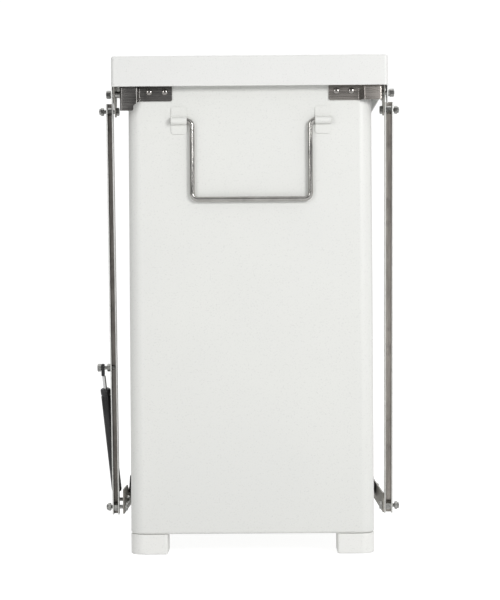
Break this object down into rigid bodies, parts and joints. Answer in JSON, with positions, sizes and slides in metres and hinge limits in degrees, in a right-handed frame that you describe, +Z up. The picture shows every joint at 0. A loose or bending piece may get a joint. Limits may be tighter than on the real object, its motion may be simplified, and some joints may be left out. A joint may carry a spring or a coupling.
{
  "type": "step-on waste receptacle",
  "caption": "Tall square powder-coated steel step-on bin on corner feet; a front pedal lifts the overhanging hinged lid through outside links, with a soft-close damper and rear bail handle.",
  "frame": {"origin": "on the floor, under the middle of the whole object's outline, 5.5 mm to the right and 26.8 mm in front of the middle of the square body", "axes": "+Z up, +Y towards the hinge at the back, -Y towards the pedal, +X towards the side with the damper"},
  "size_m": [0.489, 0.4705, 0.785],
  "materials": {
    "body_paint": "fine orange-peel powder coat, satin, off-white",
    "lid_paint": "fine orange-peel powder coat, satin, off-white",
    "foot_paint": "powder coat, satin, off-white",
    "stainless_sheet": "mill-finish stainless sheet with fine grain along its length",
    "bail_wire": "drawn stainless wire, satin",
    "zinc_hardware": "bright zinc-plated fasteners",
    "damper_rod_chrome": "ground and chromed rod",
    "damper_black": "satin black enamel",
    "black_plastic": "moulded nylon",
    "pedal_rubber": "ribbed black rubber",
    "liner_plastic": "moulded polyethylene, fine texture"
  },
  "bodies": {
    "bin_body": {"body_shell": "body_paint", "inner_liner": "liner_plastic", "foot_front_right": "foot_paint", "foot_front_left": "foot_paint", "foot_rear_right": "foot_paint", "foot_rear_left": "foot_paint", "hinge_bracket_right": "stainless_sheet", "hinge_bracket_left": "stainless_sheet", "hinge_rivet_right_inner": "zinc_hardware", "hinge_rivet_right_outer": "zinc_hardware", "hinge_rivet_left_inner": "zinc_hardware", "hinge_rivet_left_outer": "zinc_hardware", "hinge_pivot_bolt_right": "zinc_hardware", "hinge_pivot_bolt_left": "zinc_hardware", "hinge_bushing_right": "zinc_hardware", "hinge_bushing_left": "zinc_hardware", "hinge_pivot_nut_right": "zinc_hardware", "hinge_pivot_nut_left": "zinc_hardware", "fulcrum_block_right": "black_plastic", "fulcrum_block_left": "black_plastic", "fulcrum_bolt_right": "zinc_hardware", "fulcrum_bolt_left": "zinc_hardware", "handle_loop_right": "body_paint", "handle_loop_left": "body_paint"},
    "lid": {"lid_shell": "lid_paint", "lid_lever_right": "stainless_sheet", "lid_lever_left": "stainless_sheet"},
    "right_link": {"link_right": "stainless_sheet", "link_top_bolt_right": "zinc_hardware", "link_top_spacer_right": "zinc_hardware", "link_top_nut_right": "zinc_hardware", "link_bottom_bolt_right": "zinc_hardware", "link_bottom_spacer_right": "zinc_hardware", "link_bottom_nut_right": "zinc_hardware", "damper_top_bolt": "zinc_hardware", "damper_top_nut": "zinc_hardware"},
    "left_link": {"link_left": "stainless_sheet", "link_top_bolt_left": "zinc_hardware", "link_top_spacer_left": "zinc_hardware", "link_top_nut_left": "zinc_hardware", "link_bottom_bolt_left": "zinc_hardware", "link_bottom_spacer_left": "zinc_hardware", "link_bottom_nut_left": "zinc_hardware"},
    "pedal": {"pedal_arm_right": "stainless_sheet", "pedal_arm_left": "stainless_sheet", "pedal_crossbar": "stainless_sheet", "pedal_pad": "pedal_rubber", "pedal_rivet_right": "zinc_hardware", "pedal_rivet_left": "zinc_hardware"},
    "damper_piston": {"damper_rod": "damper_rod_chrome", "damper_rod_eye": "damper_black"},
    "damper_cylinder": {"damper_tube": "damper_black", "damper_end_eye": "zinc_hardware", "damper_bottom_bolt": "zinc_hardware", "damper_bottom_nut": "zinc_hardware"},
    "handle": {"rear_handle": "bail_wire"}
  },
  "joints": [
    {"name": "lid_hinge", "type": "hinge", "parent": "bin_body", "child": "lid", "pos_m": [-0.0055, 0.2153, 0.7264], "axis": [-1, 0, 0], "range_deg": [0, 75]},
    {"name": "right_link_pivot", "type": "hinge", "parent": "lid", "child": "right_link", "pos_m": [0.2175, 0.18815, 0.70242], "axis": [1, 0, 0], "range_deg": [0, 75]},
    {"name": "left_link_pivot", "type": "hinge", "parent": "lid", "child": "left_link", "pos_m": [-0.2285, 0.18815, 0.70242], "axis": [1, 0, 0], "range_deg": [0, 75]},
    {"name": "pedal_hinge", "type": "hinge", "parent": "bin_body", "child": "pedal", "pos_m": [-0.0055, -0.07119, 0.0735], "axis": [1, 0, 0], "range_deg": [0, 13.34]},
    {"name": "damper_top_pivot", "type": "hinge", "parent": "right_link", "child": "damper_piston", "pos_m": [0.2358, 0.14148, 0.29286], "axis": [1, 0, 0], "range_deg": [0, 0.53]},
    {"name": "damper_slide", "type": "slide", "parent": "damper_piston", "child": "damper_cylinder", "axis": [-0.075, -0.2801, -0.957], "range_m": [0, 0.0097]},
    {"name": "handle_swing", "type": "hinge", "parent": "bin_body", "child": "handle", "pos_m": [-0.0055, 0.2235, 0.684], "axis": [1, 0, 0], "range_deg": [0, 110]}
  ],
  "couplings": [
    {"joint": "right_link_pivot", "follows": "lid_hinge", "ratio": 1},
    {"joint": "left_link_pivot", "follows": "lid_hinge", "ratio": 1},
    {"joint": "pedal_hinge", "follows": "lid_hinge", "ratio": 0.17774},
    {"joint": "damper_top_pivot", "follows": "lid_hinge", "ratio": 0.0069601},
    {"joint": "damper_slide", "follows": "lid_hinge", "m_per_rad": 0.0073693}
  ]
}
